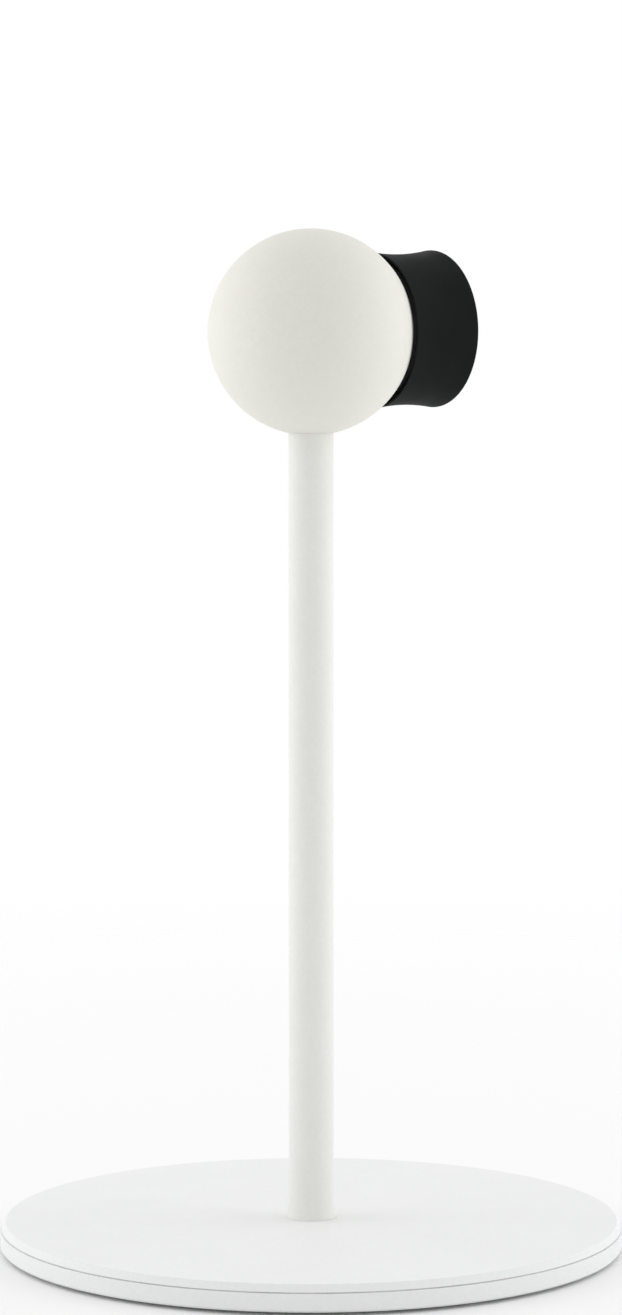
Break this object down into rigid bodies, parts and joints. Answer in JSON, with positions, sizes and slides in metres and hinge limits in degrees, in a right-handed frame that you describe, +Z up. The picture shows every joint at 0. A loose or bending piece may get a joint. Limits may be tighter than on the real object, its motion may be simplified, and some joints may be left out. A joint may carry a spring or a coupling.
{
  "type": "phone stand",
  "caption": "Ball-head phone stand: a weighted round foot, a slim post and a steel ball, with a magnetic puck that slides over the ball in any direction and holds a phone on its soft pad.",
  "frame": {"origin": "on the desk surface, at the post's axis, in the middle of the foot's underside", "axes": "+Z up along the post; the puck faces -Y, towards the user, and +X is to the right of someone who looks along +Y"},
  "size_m": [0.1524, 0.1524, 0.249],
  "materials": {
    "foot_rubber": "matte, fine dimpled moulding",
    "base_paint": "satin cool white powder coat",
    "bonding_foam": "dull pale grey foam tape",
    "pole_paint": "satin warm white powder coat",
    "ball_paint": "fine-grained satin warm white powder coat",
    "steel": "turned, bright zinc",
    "fastener_steel": "black oxide",
    "nylon": "natural nylon",
    "brass": "turned",
    "nickel": "nickel plated",
    "slide_liner": "smooth low-friction film",
    "housing_plastic": "fine moulded texture",
    "cushion_foam": "open-cell foam",
    "pad_gel": "soft, slightly tacky",
    "silicone": "matte silicone"
  },
  "bodies": {
    "stand": {"foot_pad": "foot_rubber", "base_plate": "base_paint", "cover_tape": "bonding_foam", "base_cover": "base_paint", "pole": "pole_paint", "pole_foot_plug": "steel", "pole_head_plug": "steel", "pole_screw": "fastener_steel", "lock_washer": "steel", "friction_washer": "nylon", "ball_stud": "fastener_steel"},
    "ball": {"ball_shell": "ball_paint", "ball_boss": "steel"},
    "pot_magnet": {"magnet_ring": "nickel", "magnet_yoke": "nickel"},
    "puck": {"seat_liner": "slide_liner", "puck_housing": "housing_plastic", "plate_inserts": "brass", "magnet_cushion": "cushion_foam", "front_plate": "housing_plastic", "plate_screws": "fastener_steel", "phone_pad": "pad_gel", "puck_sleeve": "silicone"}
  },
  "joints": [
    {"name": "ball_pan", "type": "hinge", "parent": "stand", "child": "ball", "pos_m": [0, 0, 0.224], "axis": [0, 0, 1], "continuous": true},
    {"name": "puck_tilt", "type": "hinge", "parent": "ball", "child": "pot_magnet", "pos_m": [0, 0, 0.224], "axis": [-1, 0, 0], "range_deg": [-27.5, 88.5]},
    {"name": "puck_spin", "type": "hinge", "parent": "pot_magnet", "child": "puck", "pos_m": [0, 0, 0.224], "axis": [0, -0.9997, 0.0262], "continuous": true}
  ]
}
